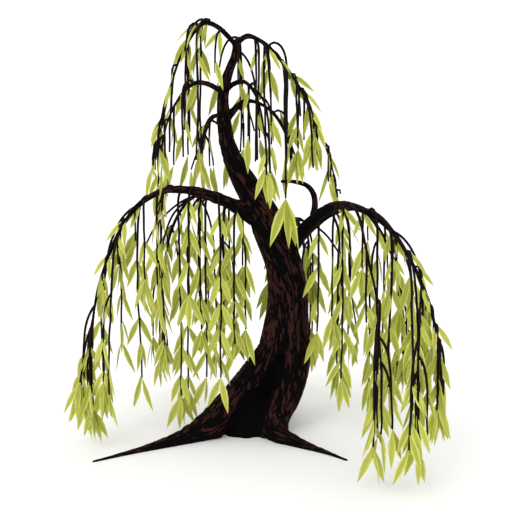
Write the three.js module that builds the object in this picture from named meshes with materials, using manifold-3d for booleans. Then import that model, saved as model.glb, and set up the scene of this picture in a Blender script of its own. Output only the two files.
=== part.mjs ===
// A small old weeping willow about 5 m tall, rooted in level ground.
// Millimetres, +Z up, origin in the flat cut under the trunk, -Y towards the open front of the crown.
// The trunk stands on buttress legs, swings right, then back left, and carries arching boughs.
// Every bough lifts from the trunk to a crest and falls away, with a curtain of foliage under it.
import * as THREE from "three";
import { mergeVertices } from "three/addons/utils/BufferGeometryUtils.js";
import Module from "manifold-3d";

const wasm = await Module();
wasm.setup();

// ---- Driving sizes ----
const SEAT = 0.35; // gap where a bough or a curtain sits against what carries it
const SHARPEST = 0.3; // least cosine, at a sharp corner, between its own direction and a face's
const TRUNK_SIDES = 14;
const TRUNK_STEPS = 16;
const LEG_SIDES = 8;
const LEG_STEPS = 6;
const BOUGH_SIDES = 6;
const CURL_STEPS = 6;
const WELD = 1e-3; // points closer than this are one point
const SKY = 20000; // side of a box much larger than the tree

// The trunk's axis from under the ground to its top fork: [x, y, height, radius].
const TRUNK = [
  [20, 130, -200, 330],
  [110, 110, 180, 300],
  [300, 60, 600, 285],
  [460, 20, 1040, 275],
  [520, 0, 1540, 238],
  [462, 0, 2010, 224],
  [312, 0, 2400, 200],
  [140, 10, 2760, 164],
  [-44, 20, 3070, 136],
  [-190, 35, 3400, 103],
  [-245, 50, 3725, 84],
  [-252, 50, 4050, 64],
  [-185, 50, 4285, 52],
  [-118, 50, 4465, 45],
  [-98, 50, 4615, 38],
];

// Buttress legs, which run down the trunk and out along the ground: [x, y, height, radius].
const LEGS = {
  left: [
    [400, -20, 1080, 150],
    [165, -120, 700, 200],
    [-84, -240, 410, 198],
    [-366, -410, 160, 188],
    [-643, -580, 60, 124],
    [-960, -790, 20, 74],
    [-1350, -1045, 0, 36],
    [-1690, -1285, -4, 18],
  ],
  right: [
    [615, -40, 1290, 155],
    [590, -110, 850, 195],
    [485, -190, 450, 190],
    [370, -320, 200, 172],
    [395, -510, 50, 146],
    [640, -755, 8, 82],
    [930, -1000, 0, 38],
    [1165, -1240, -4, 20],
  ],
  front: [
    [260, 60, 760, 150],
    [200, -30, 420, 200],
    [80, -230, 130, 262],
    [10, -300, -160, 335],
  ],
  back: [
    [330, 120, 760, 170],
    [330, 330, 330, 165],
    [440, 620, 50, 100],
    [560, 930, -8, 40],
  ],
  back_left: [
    [200, 130, 640, 170],
    [0, 360, 250, 165],
    [-180, 620, 40, 95],
    [-340, 880, -8, 36],
  ],
};

// Boughs. Each leaves the trunk at root, on its bearing (0 is +X, 90 is +Y), lifts by rise to a crest
// that lies crest away in plan, and then falls by drop along a quarter superellipse of that power, out
// to reach. It enters its curtain at the share end of that fall. The three radii are at root, crest
// and reach. A bough that bends over a wide gap is split at its crest.
const BOUGHS = {
  left: {
    root: [150, 0, 2560],
    bearing: 203,
    rise: 400,
    crest: 1050,
    reach: 2040,
    drop: 1900,
    power: 2,
    end: 0.5,
    radii: [120, 42, 18],
    split: true,
  },
  right: {
    root: [560, -30, 2250],
    bearing: 314,
    rise: 560,
    crest: 880,
    reach: 2240,
    drop: 1750,
    power: 1.95,
    end: 0.62,
    radii: [110, 44, 18],
    split: true,
  },
  right_front: {
    root: [1140, -640, 2800],
    bearing: 282,
    rise: 50,
    crest: 180,
    reach: 1480,
    drop: 2100,
    power: 1.9,
    end: 0.5,
    radii: [30, 24, 12],
    split: false,
  },
  right_fore: {
    root: [1776, -1290, 2370],
    bearing: 272,
    rise: 50,
    crest: 150,
    reach: 960,
    drop: 1700,
    power: 1.9,
    end: 0.5,
    radii: [24, 20, 11],
    split: false,
  },
  back_right: {
    root: [480, 60, 2120],
    bearing: 18,
    rise: 520,
    crest: 800,
    reach: 1600,
    drop: 1700,
    power: 2,
    end: 0.45,
    radii: [90, 40, 18],
    split: true,
  },
  back: {
    root: [420, 80, 2150],
    bearing: 76,
    rise: 270,
    crest: 780,
    reach: 1640,
    drop: 1400,
    power: 2,
    end: 0.45,
    radii: [92, 40, 18],
    split: true,
  },
  back_left: {
    root: [180, 60, 2530],
    bearing: 140,
    rise: 260,
    crest: 850,
    reach: 1720,
    drop: 1690,
    power: 2,
    end: 0.45,
    radii: [88, 40, 18],
    split: true,
  },
  top_left: {
    root: [-100, 50, 4590],
    bearing: 187,
    rise: 245,
    crest: 340,
    reach: 960,
    drop: 1850,
    power: 1.6,
    end: 0.36,
    radii: [38, 28, 12],
    split: false,
  },
  top_right: {
    root: [-100, 50, 4590],
    bearing: 340,
    rise: 100,
    crest: 160,
    reach: 1250,
    drop: 1900,
    power: 1.5,
    end: 0.56,
    radii: [38, 34, 14],
    split: true,
  },
  top_back: {
    root: [-104, 60, 4560],
    bearing: 86,
    rise: 110,
    crest: 300,
    reach: 960,
    drop: 1420,
    power: 1.8,
    end: 0.36,
    radii: [36, 28, 12],
    split: false,
  },
  mid_left: {
    root: [-250, 50, 4040],
    bearing: 216,
    rise: 120,
    crest: 330,
    reach: 900,
    drop: 1250,
    power: 2,
    end: 0.4,
    radii: [40, 30, 12],
    split: false,
  },
  mid_right: {
    root: [-250, 50, 4040],
    bearing: 318,
    rise: 140,
    crest: 300,
    reach: 700,
    drop: 1150,
    power: 2,
    end: 0.4,
    radii: [38, 28, 12],
    split: false,
  },
  inner_right: {
    root: [-230, 50, 3700],
    bearing: 18,
    rise: 240,
    crest: 290,
    reach: 860,
    drop: 900,
    power: 2,
    end: 0.4,
    radii: [52, 30, 12],
    split: false,
  },
  inner_back: {
    root: [-150, 50, 3330],
    bearing: 112,
    rise: 420,
    crest: 520,
    reach: 1150,
    drop: 900,
    power: 2,
    end: 0.4,
    radii: [60, 32, 14],
    split: false,
  },
};

// Where a bough has its rings: shares of the way out over its rise, and of the turn over its fall.
const RISE_STATIONS = [0, 0.3, 0.65, 1];
const FALL_STATIONS = [0.25, 0.5, 0.75, 1];
const RISE_TAPER = 0.6; // under 1, so that a bough thins quickest as it leaves the trunk

// The short limb that curls back over the fork from the foot of the right bough: [x, y, height, radius].
const CURL = [
  [800, -270, 2640, 40],
  [822, -220, 2760, 38],
  [806, -165, 2880, 34],
  [735, -120, 2970, 30],
  [600, -75, 3010, 25],
  [430, -20, 3010, 18],
];

// Curtains of foliage. Each hangs under its bough between the plan distances from and to, with half
// its width at either end in half, and its lower edge at either end in foot. One with a lid rises no
// higher than that.
const CURTAINS = {
  left_inner: { bough: "left", from: 60, to: 1030, half: [160, 480], foot: [760, 100] },
  left_outer: { bough: "left", from: 1090, to: 2160, half: [520, 480], foot: [480, 400] },
  left_tip: { bough: "left", from: 1960, to: 2330, half: [200, 210], foot: [150, 40], lid: 1200 },
  right_inner: { bough: "right", from: 300, to: 1000, half: [180, 420], foot: [900, 250] },
  right_outer: { bough: "right", from: 1060, to: 2260, half: [440, 460], foot: [420, 180] },
  right_front: { bough: "right_front", from: 800, to: 1580, half: [200, 260], foot: [330, 30] },
  right_fore: { bough: "right_fore", from: 420, to: 1100, half: [200, 240], foot: [250, 25] },
  back_right_inner: { bough: "back_right", from: 260, to: 800, half: [170, 420], foot: [1150, 700] },
  back_right_outer: { bough: "back_right", from: 860, to: 1750, half: [600, 940], foot: [560, 230] },
  back_inner: { bough: "back", from: 300, to: 800, half: [180, 420], foot: [1100, 650] },
  back_outer: { bough: "back", from: 860, to: 1800, half: [600, 980], foot: [500, 210] },
  back_left_inner: { bough: "back_left", from: 280, to: 850, half: [180, 440], foot: [1000, 640] },
  back_left_outer: { bough: "back_left", from: 910, to: 1890, half: [600, 980], foot: [480, 180] },
  top_left: { bough: "top_left", from: 180, to: 1090, half: [260, 380], foot: [3080, 2930] },
  top_right_inner: { bough: "top_right", from: 160, to: 760, half: [190, 300], foot: [3330, 3000] },
  top_right_outer: { bough: "top_right", from: 800, to: 1380, half: [320, 380], foot: [2960, 2820] },
  top_back: { bough: "top_back", from: 330, to: 1080, half: [260, 480], foot: [3420, 3060] },
  mid_left: { bough: "mid_left", from: 250, to: 900, half: [170, 290], foot: [3260, 3040] },
  mid_right: { bough: "mid_right", from: 260, to: 800, half: [150, 300], foot: [3230, 2880] },
  inner_right: { bough: "inner_right", from: 260, to: 1000, half: [150, 360], foot: [3120, 2860] },
  inner_back: { bough: "inner_back", from: 330, to: 1300, half: [190, 560], foot: [3000, 2830] },
};

// Half of a curtain's cross-section, from the ridge under the bough, over the shoulder, down the side
// and round the fringe: [share of the half width, share of the height].
const HALF_SECTION = [
  [0, 1],
  [0.5, 0.96],
  [0.9, 0.8],
  [1.03, 0.42],
  [0.92, 0.08],
  [0.46, 0],
  [0, 0.06],
];
const FRINGE_UP = 0.2; // the share of the height below which the section is fringe
const CURTAIN_STATIONS = 6;
const OVERHANG = 60; // how far past the end of its bough a curtain hangs
const ROUNDING = 3; // how square a curtain is in plan: 2 gives an ellipse, more a squarer shape
const END_WIDTH = 0.4; // width of a curtain's two ends, as a share of the width there
const END_LIFT = 0.3; // how far the fringe lifts at the two ends, as a share of the height there
const LID_ENDS = 0.5; // height of a lid at the two ends, as a share of its middle's
const LOWEST = 25; // height above the ground of the lowest fringe
const UNEVEN = 0.1; // how far a curtain's surface wanders, as a share of its half width
const RAGGED = 0.07; // how far its fringe wanders, as a share of its height

// Three unlike factors and a large scale, which make a wave look random from key to key.
const WANDER_KEYS = [12.9898, 78.233, 37.719];
const WANDER_SCALE = 43758.5453;

const BARK = new THREE.MeshStandardMaterial({ color: 0x3a1916, roughness: 0.9, metalness: 0 });
const LEAF = new THREE.MeshStandardMaterial({ color: 0xa6a94c, roughness: 0.7, metalness: 0 });

// ---- Solids ----

// The closed surface through rings of the same number of points, with a fan over each end.
function loft(rings) {
  const count = rings[0].length;
  const middle = (ring) =>
    ring.reduce((sum, p) => sum.add(p), new THREE.Vector3()).divideScalar(count);
  const points = [...rings.flat(), middle(rings[0]), middle(rings[rings.length - 1])];
  const first = rings.length * count;
  const last = first + 1;
  const faces = [];
  for (let j = 0; j < count; j++) {
    const next = (j + 1) % count;
    faces.push(first, next, j);
    faces.push(last, (rings.length - 1) * count + j, (rings.length - 1) * count + next);
    for (let i = 0; i + 1 < rings.length; i++) {
      const [a, b] = [i * count + j, i * count + next];
      faces.push(a, b, b + count, a, b + count, a + count);
    }
  }
  const geometry = new THREE.BufferGeometry().setFromPoints(points);
  geometry.setIndex(faces);
  return geometry;
}

// The points of a closed surface, moved so that every face lies that much further out.
function grownPoints(geometry, grow) {
  const { index, attributes } = geometry;
  const points = Array.from({ length: attributes.position.count }, (_, i) =>
    new THREE.Vector3().fromBufferAttribute(attributes.position, i),
  );
  const normals = points.map(() => []);
  for (let i = 0; i < index.count; i += 3) {
    const corners = [0, 1, 2].map((k) => index.getX(i + k));
    const facing = new THREE.Triangle(...corners.map((k) => points[k])).getNormal(new THREE.Vector3());
    corners.forEach((k) => normals[k].push(facing));
  }
  return points.flatMap((p, i) => {
    const way = normals[i].reduce((sum, n) => sum.add(n), new THREE.Vector3()).normalize();
    const least = Math.min(...normals[i].map((n) => n.dot(way)));
    return p.clone().addScaledVector(way, grow / Math.max(least, SHARPEST)).toArray();
  });
}

// A closed geometry as a solid for cutting and joining, grown by that much all over.
function solid(geometry, grow = 0) {
  const bare = geometry.clone();
  bare.deleteAttribute("normal");
  bare.deleteAttribute("uv");
  const merged = mergeVertices(bare, WELD);
  const build = () =>
    new wasm.Manifold(
      new wasm.Mesh({
        numProp: 3,
        vertProperties: new Float32Array(grownPoints(merged, grow)),
        triVerts: new Uint32Array(merged.index.array),
      }),
    );
  if (build().volume() < 0) merged.index.array.reverse();
  return build();
}

// The largest body of a solid as a named mesh.
function mesh(name, made, material) {
  const body = made.decompose().sort((a, b) => b.volume() - a.volume())[0];
  const { vertProperties, triVerts } = body.getMesh();
  const geometry = new THREE.BufferGeometry();
  geometry.setAttribute("position", new THREE.BufferAttribute(new Float32Array(vertProperties), 3));
  geometry.setIndex(new THREE.BufferAttribute(new Uint32Array(triVerts), 1));
  geometry.computeVertexNormals();
  const piece = new THREE.Mesh(geometry, material);
  piece.name = name;
  return piece;
}

// A round limb along a spine of {at, radius}.
function limb(spine, sides, grow = 0) {
  const tangents = spine.map((_, i) => {
    const [before, after] = [spine[Math.max(i - 1, 0)], spine[Math.min(i + 1, spine.length - 1)]];
    return after.at.clone().sub(before.at).normalize();
  });
  const { x, y } = tangents[0];
  const level = Math.abs(x) > Math.abs(y) ? new THREE.Vector3(0, 1, 0) : new THREE.Vector3(1, 0, 0);
  const side = level.cross(tangents[0]);
  const rings = spine.map(({ at, radius }, i) => {
    side.addScaledVector(tangents[i], -side.dot(tangents[i])).normalize();
    const other = tangents[i].clone().cross(side);
    return Array.from({ length: sides }, (_, j) => {
      const turn = (2 * Math.PI * j) / sides;
      return at
        .clone()
        .addScaledVector(side, Math.cos(turn) * radius)
        .addScaledVector(other, Math.sin(turn) * radius);
    });
  });
  return solid(loft(rings), grow);
}

// A spine of steps + 1 places on the smooth curve through stations of [x, y, height, radius].
function smoothSpine(stations, steps) {
  const curve = new THREE.CatmullRomCurve3(
    stations.map(([x, y, z]) => new THREE.Vector3(x, y, z)),
    false,
    "centripetal",
  );
  return Array.from({ length: steps + 1 }, (_, i) => {
    const along = (i / steps) * (stations.length - 1);
    const k = Math.min(Math.floor(along), stations.length - 2);
    const radius = THREE.MathUtils.lerp(stations[k][3], stations[k + 1][3], along - k);
    return { at: curve.getPoint(i / steps), radius };
  });
}

// ---- Boughs ----

// The height of a bough's axis at a distance from its root in plan. beyond widens and lifts its fall.
function heightOf({ root, rise, crest, reach, drop, power }, out, beyond = 0) {
  if (out < crest) return root[2] + rise * Math.sin(((Math.PI / 2) * Math.max(out, 0)) / crest);
  const share = Math.min((out - crest) / (reach + beyond - crest), 1);
  return root[2] + rise - drop * (1 - (1 - share ** power) ** (1 / power));
}

// The point above the plan at that distance out on a bough's bearing, and that far to its left.
function inPlan({ root, bearing }, out, aside, height) {
  const turn = THREE.MathUtils.degToRad(bearing);
  const [east, north] = [Math.cos(turn), Math.sin(turn)];
  return new THREE.Vector3(
    root[0] + out * east - aside * north,
    root[1] + out * north + aside * east,
    height,
  );
}

// A bough's spine over its rise and over its fall, as far as the share end of the fall's quarter turn.
function boughSpines(bough) {
  const { crest, reach, power, radii, end } = bough;
  const station = (out, radius) => ({ at: inPlan(bough, out, 0, heightOf(bough, out)), radius });
  const { lerp } = THREE.MathUtils;
  const rise = RISE_STATIONS.map((t) =>
    station(t * crest, lerp(radii[0], radii[1], t ** RISE_TAPER)),
  );
  const fall = FALL_STATIONS.map((t) => {
    const share = Math.sin((Math.PI / 2) * end * t) ** (2 / power);
    return station(crest + share * (reach - crest), lerp(radii[1], radii[2], t * end));
  });
  return [rise, [rise[rise.length - 1], ...fall]];
}

// ---- Foliage ----

// A value from -1 to 1 that looks random but is the same every time.
function wander(...keys) {
  const seed = keys.reduce((sum, k, i) => sum + (k + 1) * WANDER_KEYS[i], 0);
  const wave = Math.sin(seed) * WANDER_SCALE;
  return 2 * (wave - Math.floor(wave)) - 1;
}

// One curtain as a closed uneven solid.
function curtain({ bough: boughName, from, to, half, foot, lid = Infinity }, seed, grow = 0) {
  const bough = BOUGHS[boughName];
  const { lerp } = THREE.MathUtils;
  const overhang = Math.max(to - bough.reach, 0) + OVERHANG;
  const mirrored = HALF_SECTION.slice(1, -1).reverse();
  const section = [...HALF_SECTION, ...mirrored.map(([across, up]) => [-across, up])];
  const rings = Array.from({ length: CURTAIN_STATIONS }, (_, i) => {
    const t = i / (CURTAIN_STATIONS - 1);
    const round = Math.sqrt(1 - Math.abs(2 * t - 1) ** ROUNDING);
    const out = lerp(from, to, t);
    const top = Math.min(heightOf(bough, out, overhang), lid * lerp(LID_ENDS, 1, round));
    const foothold = lerp(foot[0], foot[1], t);
    const low = foothold + (1 - round) * END_LIFT * (top - foothold);
    const width = lerp(half[0], half[1], t) * lerp(END_WIDTH, 1, round);
    return section.map(([across, up], j) => {
      const fringe = up < FRINGE_UP ? wander(seed, i, j) * RAGGED * (top - low) : 0;
      const aside = across * width * (1 + wander(j, seed, i) * UNEVEN);
      return inPlan(bough, out, aside, Math.max(low + up * (top - low) + fringe, LOWEST));
    });
  });
  return solid(loft(rings), grow);
}

// ---- Assembly ----
const tree = new THREE.Group();

// Everything above the ground.
const above = solid(new THREE.BoxGeometry(SKY, SKY, SKY).translate(0, 0, SKY / 2));

function trunkWood(grow) {
  const stem = limb(smoothSpine(TRUNK, TRUNK_STEPS), TRUNK_SIDES, grow);
  const legs = Object.values(LEGS).map((leg) => limb(smoothSpine(leg, LEG_STEPS), LEG_SIDES, grow));
  return legs.reduce((sum, leg) => sum.add(leg), stem);
}
tree.add(mesh("trunk", trunkWood(0).intersect(above), BARK));

// Each piece of wood is cut back from the wood before it, and adds its own grown shape to the cutter.
let wood = trunkWood(SEAT);
function addBough(name, spine) {
  tree.add(mesh(name, limb(spine, BOUGH_SIDES).subtract(wood), BARK));
  wood = wood.add(limb(spine, BOUGH_SIDES, SEAT));
}
for (const [name, bough] of Object.entries(BOUGHS)) {
  const [rise, fall] = boughSpines(bough);
  if (bough.split) {
    addBough(`bough_${name}`, rise);
    addBough(`bough_${name}_arch`, fall);
  } else {
    addBough(`bough_${name}`, [...rise, ...fall.slice(1)]);
  }
}
addBough("bough_curl", smoothSpine(CURL, CURL_STEPS));

// Each curtain is cut round the wood and round the curtains before it.
let taken = wood;
Object.entries(CURTAINS).forEach(([name, spec], seed) => {
  tree.add(mesh(`foliage_${name}`, curtain(spec, seed).subtract(taken), LEAF));
  taken = taken.add(curtain(spec, seed)).add(curtain(spec, seed, SEAT));
});

export default tree;
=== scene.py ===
"""A small old weeping willow: furrowed bark, arching boughs, hanging shoots and narrow leaves.

Metres, +Z up, -Y towards the camera. The bark follows the frame's trunk, legs and boughs. Foliage grows
on from the boughs: shoots leave a bough on both sides, arch over and hang in the space that the frame's
foliage nodes hold, and leaves stand in pairs down them.
"""
import itertools
import math
from collections import namedtuple

import bmesh
import bpy
import numpy as np
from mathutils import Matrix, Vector
from mathutils.bvhtree import BVHTree


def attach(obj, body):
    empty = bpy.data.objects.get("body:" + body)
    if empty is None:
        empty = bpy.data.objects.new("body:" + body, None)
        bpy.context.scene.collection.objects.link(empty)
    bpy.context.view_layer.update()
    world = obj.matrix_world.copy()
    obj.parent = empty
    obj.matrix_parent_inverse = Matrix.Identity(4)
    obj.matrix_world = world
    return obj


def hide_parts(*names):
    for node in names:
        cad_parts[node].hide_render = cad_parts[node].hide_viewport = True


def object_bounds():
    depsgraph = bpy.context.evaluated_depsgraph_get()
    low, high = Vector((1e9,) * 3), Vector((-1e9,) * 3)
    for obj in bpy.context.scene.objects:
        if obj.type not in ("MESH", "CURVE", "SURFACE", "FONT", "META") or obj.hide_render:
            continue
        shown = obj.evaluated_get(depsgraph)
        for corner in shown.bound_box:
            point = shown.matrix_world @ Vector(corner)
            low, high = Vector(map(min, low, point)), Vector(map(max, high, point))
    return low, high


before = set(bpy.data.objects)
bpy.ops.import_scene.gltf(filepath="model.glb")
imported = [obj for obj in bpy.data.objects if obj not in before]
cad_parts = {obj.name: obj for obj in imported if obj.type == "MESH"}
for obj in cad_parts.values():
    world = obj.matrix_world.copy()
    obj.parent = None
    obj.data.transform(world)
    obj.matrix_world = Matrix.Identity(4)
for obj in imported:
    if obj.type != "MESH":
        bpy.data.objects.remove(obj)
CAD_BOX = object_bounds()
SEED, LEAF_SEED, TRAILER_SEED = 132, 100, 200
GOLDEN = (math.sqrt(5) - 1) / 2  # spreads places over a range without lining them up

# ---- Camera ----
EYE = Vector((0.24, -13.0, 4.5))
AIM = Vector((0.24, 0.0, 2.0))
LENS = 74.93
SENSOR = 36.0

# ---- Wood: [x, y, height, radius] ----
STEM = [
    (0.02, 0.13, -0.2, 0.33),
    (0.11, 0.11, 0.18, 0.3),
    (0.3, 0.06, 0.6, 0.285),
    (0.46, 0.02, 1.04, 0.275),
    (0.52, 0.0, 1.54, 0.238),
    (0.462, 0.0, 2.01, 0.224),
    (0.312, 0.0, 2.4, 0.2),
    (0.14, 0.01, 2.76, 0.164),
    (-0.044, 0.02, 3.07, 0.136),
    (-0.19, 0.035, 3.4, 0.103),
    (-0.245, 0.05, 3.725, 0.084),
    (-0.252, 0.05, 4.05, 0.064),
    (-0.185, 0.05, 4.285, 0.052),
    (-0.118, 0.05, 4.465, 0.045),
    (-0.098, 0.05, 4.615, 0.038),
]
LEGS = {
    "left": [
        (0.4, -0.02, 1.08, 0.15),
        (0.165, -0.12, 0.7, 0.2),
        (-0.084, -0.24, 0.41, 0.198),
        (-0.366, -0.41, 0.16, 0.188),
        (-0.643, -0.58, 0.06, 0.124),
        (-0.96, -0.79, 0.02, 0.074),
        (-1.35, -1.045, 0.0, 0.036),
        (-1.69, -1.285, -0.004, 0.018),
    ],
    "right": [
        (0.615, -0.04, 1.29, 0.155),
        (0.59, -0.11, 0.85, 0.195),
        (0.485, -0.19, 0.45, 0.19),
        (0.37, -0.32, 0.2, 0.172),
        (0.395, -0.51, 0.05, 0.146),
        (0.64, -0.755, 0.008, 0.082),
        (0.93, -1.0, 0.0, 0.038),
        (1.165, -1.24, -0.004, 0.02),
    ],
    "front": [
        (0.26, 0.06, 0.76, 0.15),
        (0.2, -0.03, 0.42, 0.2),
        (0.08, -0.23, 0.13, 0.262),
        (0.01, -0.3, -0.16, 0.335),
    ],
    "back": [
        (0.33, 0.12, 0.76, 0.17),
        (0.33, 0.33, 0.33, 0.165),
        (0.44, 0.62, 0.05, 0.1),
        (0.56, 0.93, -0.008, 0.04),
    ],
    "back_left": [
        (0.2, 0.13, 0.64, 0.17),
        (0.0, 0.36, 0.25, 0.165),
        (-0.18, 0.62, 0.04, 0.095),
        (-0.34, 0.88, -0.008, 0.036),
    ],
}
CURL = [
    (0.8, -0.27, 2.64, 0.04),
    (0.822, -0.22, 2.76, 0.038),
    (0.806, -0.165, 2.88, 0.034),
    (0.735, -0.12, 2.97, 0.03),
    (0.6, -0.075, 3.01, 0.025),
    (0.43, -0.02, 3.01, 0.018),
]
# The hollow between the front legs, carved in and with painted shade that makes its bark black: [height,
# its left edge, its right edge], as x.
HOLLOW = [
    (0.0, -0.27, 0.19),
    (0.13, -0.25, 0.186),
    (0.27, -0.163, 0.24),
    (0.4, -0.1, 0.3),
    (0.52, -0.009, 0.36),
    (0.59, 0.145, 0.407),
    (0.71, 0.25, 0.45),
    (0.79, 0.3, 0.472),
    (0.88, 0.355, 0.48),
    (0.94, 0.41, 0.484),
    (1.0, 0.467, 0.467),
]


Bough = namedtuple(
    "Bough", "root bearing rise crest reach drop power radii end region gap bare leafy curtains"
)


def bough(root, bearing, *sizes):
    """A bough leaves root on its bearing, lifts by rise to its crest and falls by drop to its reach.

    It ends in shoots at the share end of its fall, and others hang that gap apart along it. From where
    they hang straight they have no leaves over a stretch within the range bare, and below it the share
    leafy of those they could, first at the top and then at the tip.
    """
    return Bough(root, math.radians(bearing), *sizes)


BOUGHS = {
    "left": bough(
        (0.15, 0.0, 2.56), 203, 0.4, 1.05, 2.04, 1.9, 2.0, (0.12, 0.044, 0.013), 0.93,
        "left", 0.125, (0.0, 0.3), (0.72, 0.86), ("left_inner", "left_outer", "left_tip"),
    ),
    "right": bough(
        (0.56, -0.03, 2.25), 314, 0.56, 0.88, 2.24, 1.75, 1.95, (0.11, 0.046, 0.013), 0.93,
        "right", 0.15, (0.0, 0.35), (0.74, 0.74), ("right_inner", "right_outer"),
    ),
    "right_front": bough(
        (1.14, -0.64, 2.8), 282, 0.05, 0.18, 1.48, 2.1, 1.9, (0.03, 0.024, 0.01), 0.8,
        "right", 0.26, (0.0, 0.25), (0.8, 0.5), ("right_front",),
    ),
    "right_fore": bough(
        (1.776, -1.29, 2.37), 272, 0.05, 0.15, 0.96, 1.7, 1.9, (0.024, 0.02, 0.01), 0.8,
        "right", 0.3, (0.0, 0.25), (0.74, 0.36), ("right_fore",),
    ),
    "back_right": bough(
        (0.48, 0.06, 2.12), 18, 0.52, 0.8, 1.6, 1.7, 2.0, (0.09, 0.04, 0.012), 0.85,
        "back", 0.19, (0.1, 0.4), (0.7, 0.7), ("back_right_inner", "back_right_outer"),
    ),
    "back": bough(
        (0.42, 0.08, 2.15), 76, 0.27, 0.78, 1.64, 1.4, 2.0, (0.092, 0.04, 0.012), 0.85,
        "back", 0.19, (0.1, 0.4), (0.5, 0.6), ("back_inner", "back_outer"),
    ),
    "back_left": bough(
        (0.18, 0.06, 2.53), 140, 0.26, 0.85, 1.72, 1.69, 2.0, (0.088, 0.04, 0.012), 0.85,
        "back", 0.19, (0.1, 0.4), (0.7, 0.7), ("back_left_inner", "back_left_outer"),
    ),
    "top_left": bough(
        (-0.1, 0.05, 4.59), 187, 0.245, 0.34, 0.96, 1.85, 1.6, (0.038, 0.028, 0.009), 0.8,
        "top", 0.066, (-0.35, 0.05), (0.66, 0.15), ("top_left",),
    ),
    "top_right": bough(
        (-0.1, 0.05, 4.59), 340, 0.1, 0.16, 1.25, 1.9, 1.5, (0.038, 0.034, 0.009), 0.9,
        "top", 0.07, (-0.2, 0.15), (0.46, 0.11), ("top_right_inner", "top_right_outer"),
    ),
    "top_back": bough(
        (-0.104, 0.06, 4.56), 86, 0.11, 0.3, 0.96, 1.42, 1.8, (0.036, 0.028, 0.009), 0.8,
        "top", 0.1, (0.0, 0.3), (0.24, 0.24), ("top_back",),
    ),
    "mid_left": bough(
        (-0.25, 0.05, 4.04), 216, 0.12, 0.33, 0.9, 1.25, 2.0, (0.04, 0.03, 0.009), 0.65,
        "top", 0.11, (0.0, 0.2), (0.26, 0.14), ("mid_left",),
    ),
    "mid_right": bough(
        (-0.25, 0.05, 4.04), 318, 0.14, 0.3, 0.7, 1.15, 2.0, (0.038, 0.028, 0.009), 0.65,
        "top", 0.11, (0.0, 0.2), (0.22, 0.18), ("mid_right",),
    ),
    "inner_right": bough(
        (-0.23, 0.05, 3.7), 18, 0.24, 0.29, 0.86, 0.9, 2.0, (0.052, 0.03, 0.009), 0.65,
        "top", 0.12, (0.0, 0.2), (0.14, 0.12), ("inner_right",),
    ),
    "inner_back": bough(
        (-0.15, 0.05, 3.33), 112, 0.42, 0.52, 1.15, 0.9, 2.0, (0.06, 0.032, 0.009), 0.65,
        "top", 0.13, (0.0, 0.2), (0.32, 0.28), ("inner_back",),
    ),
}
RISE_TAPER = 0.6
FALL_TAPER = 0.55
WOBBLE = 0.022  # how far a bough's axis wanders
WOBBLE_LENGTH = 0.55
WOBBLE_START = 0.5  # length over which it begins to
SWELLING = 0.14  # how far a bough's radius wanders, as a share of it
SWELLING_LENGTH = 0.22

# ---- Bark ----
VOXEL = 0.0127
LIMB_STEP = 0.02
SPAN_SAMPLES = 16  # of a curve between two of its stations, and of a bough's rise
RING_EDGE = (0.03, 16, 48)  # length of a ring's edges on a fused limb, fewest and most of them
TUBE_EDGE = (0.011, 10, 26)  # the same on a bough's own tube
OVERLAP = 0.24  # how long a bough's own tube runs inside the fused wood
HALF_OVERLAP = int(OVERLAP / 2 / LIMB_STEP)  # samples over which the two narrow
FUSED_END, TUBE_START = 0.8, 0.9  # their widths at the ends, as shares
THINNEST_FUSED = 0.034
FUSED_LEAST = 0.5  # least length of a bough that is fused
FURROW_WIDTH = 0.05
FURROW_LENGTH = 0.24
FURROW_RADIUS = 0.24  # radius of a limb whose furrows have that width
FURROW_DEPTH = 0.018
FURROW_SHARE = 0.1  # deepest furrow, as a share of the limb's radius
FURROW_LEVEL = 0.6  # height of the bark, from 0 to 1, that lies at the limb's radius
FURROW_WARP = (0.6, 0.5)  # how fine the noise is that bends them, and how far it does
FINE_FURROWS = (2.3, 0.55)  # how many times finer the small furrows are, and how strong
FURROW_EDGES = (0.14, 0.42)  # how strong the noise is at the foot and at the top of a ridge
THIN_SHIFT = 0.16  # how far those edges lie higher on a thin limb, which is darker
THICK_RADIUS = 0.2  # radius of a limb where they don't
HOLLOW_DEPTH = 0.06
HOLLOW_EDGE = 0.03
HOLLOW_GRAIN = [9, 9, 5]  # lumps to a metre of its ragged edge
HOLLOW_FACING = 0.3  # how far its bark may face backwards
TWIST = 0.55  # radians per metre
PATCH_WIDTH = 0.17
PATCH_LENGTH = 0.7
PATCH_SHIFT = 0.34  # how far the edges shift between patches of red and of dark bark
FLUTE_WIDTH = 0.17
FLUTE_LENGTH = 1.1
FLUTE_DEPTH = 0.028
FLUTE_RADIUS = 0.25  # radius of a limb whose flutes have that depth
BARK_COLORS = [
    (0.00, (0.0006, 0.0003, 0.0003)),
    (0.46, (0.0012, 0.0005, 0.0005)),
    (0.60, (0.0290, 0.0068, 0.0060)),
    (1.00, (0.0410, 0.0105, 0.0090)),
]
BARK_GRAIN = 0.36  # how far fine grain shifts the height that picks one of them
PATCH_TINT = (0.62, 0.58, 0.60)
BLEND = 0.09  # how near two limbs' surfaces lie where their bark runs together
JOINT = 0.3  # how near they lie where the joint is smoothed
FAINTEST = 0.02  # weight under which a limb's bark is left out
SMOOTHING_ROUNDS = 14
SMOOTHING_PUSHES = (0.5, -0.53)  # towards the neighbours and back, which keeps the size

# ---- Foliage ----
SLANT = (35, 75)  # degrees between a bough and a shoot that leaves it
SCATTER = 0.3  # how far a shoot's place wanders along its bough, as a share of the gap
ARCHING = (5, 40)  # degrees over its bough's slope at which a shoot sets off
ARCHED = (-65, 60)  # degrees over level that this is kept within
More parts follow.
